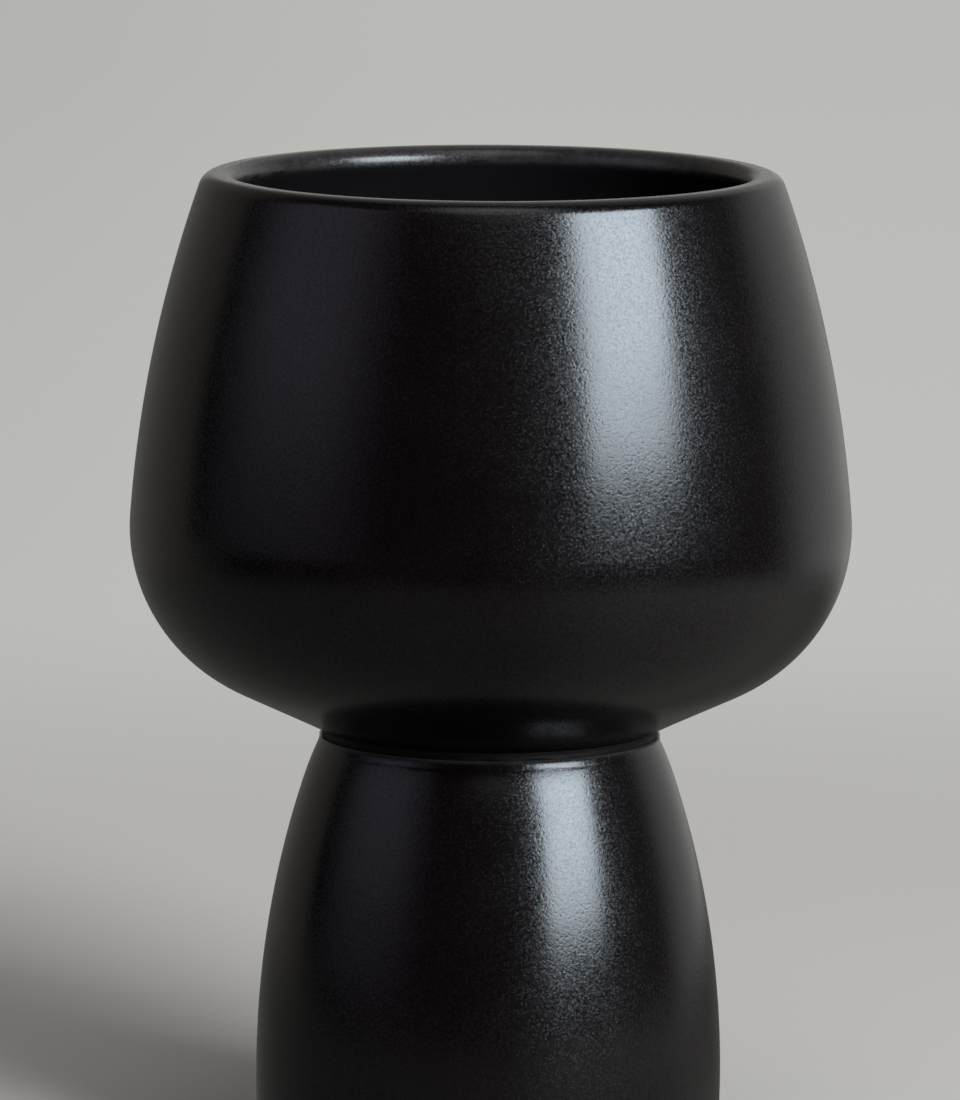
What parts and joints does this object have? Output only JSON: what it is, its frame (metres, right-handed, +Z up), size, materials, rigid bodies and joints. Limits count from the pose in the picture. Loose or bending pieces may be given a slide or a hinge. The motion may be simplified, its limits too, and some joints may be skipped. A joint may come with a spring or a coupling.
{
  "type": "footed candle vessel",
  "caption": "Empty round-shouldered ceramic candle bowl on a hollow bullet-shaped pedestal, black satin glaze, to hold poured container-candle wax.",
  "frame": {"origin": "on the vessel's axis, in the plane that the four base pads stand on", "axes": "+Z up along the axis of revolution; +X and +Y between the pads, which sit on the diagonals"},
  "size_m": [0.12, 0.12, 0.1689],
  "materials": {
    "bowl_glaze": "satin",
    "joint_glaze": "satin",
    "pedestal_glaze": "satin",
    "pad_rubber": "matte"
  },
  "bodies": {
    "root": {"bowl": "bowl_glaze", "joint_ring": "joint_glaze", "pedestal": "pedestal_glaze", "base_pad_1": "pad_rubber", "base_pad_2": "pad_rubber", "base_pad_3": "pad_rubber", "base_pad_4": "pad_rubber"}
  },
  "joints": []
}
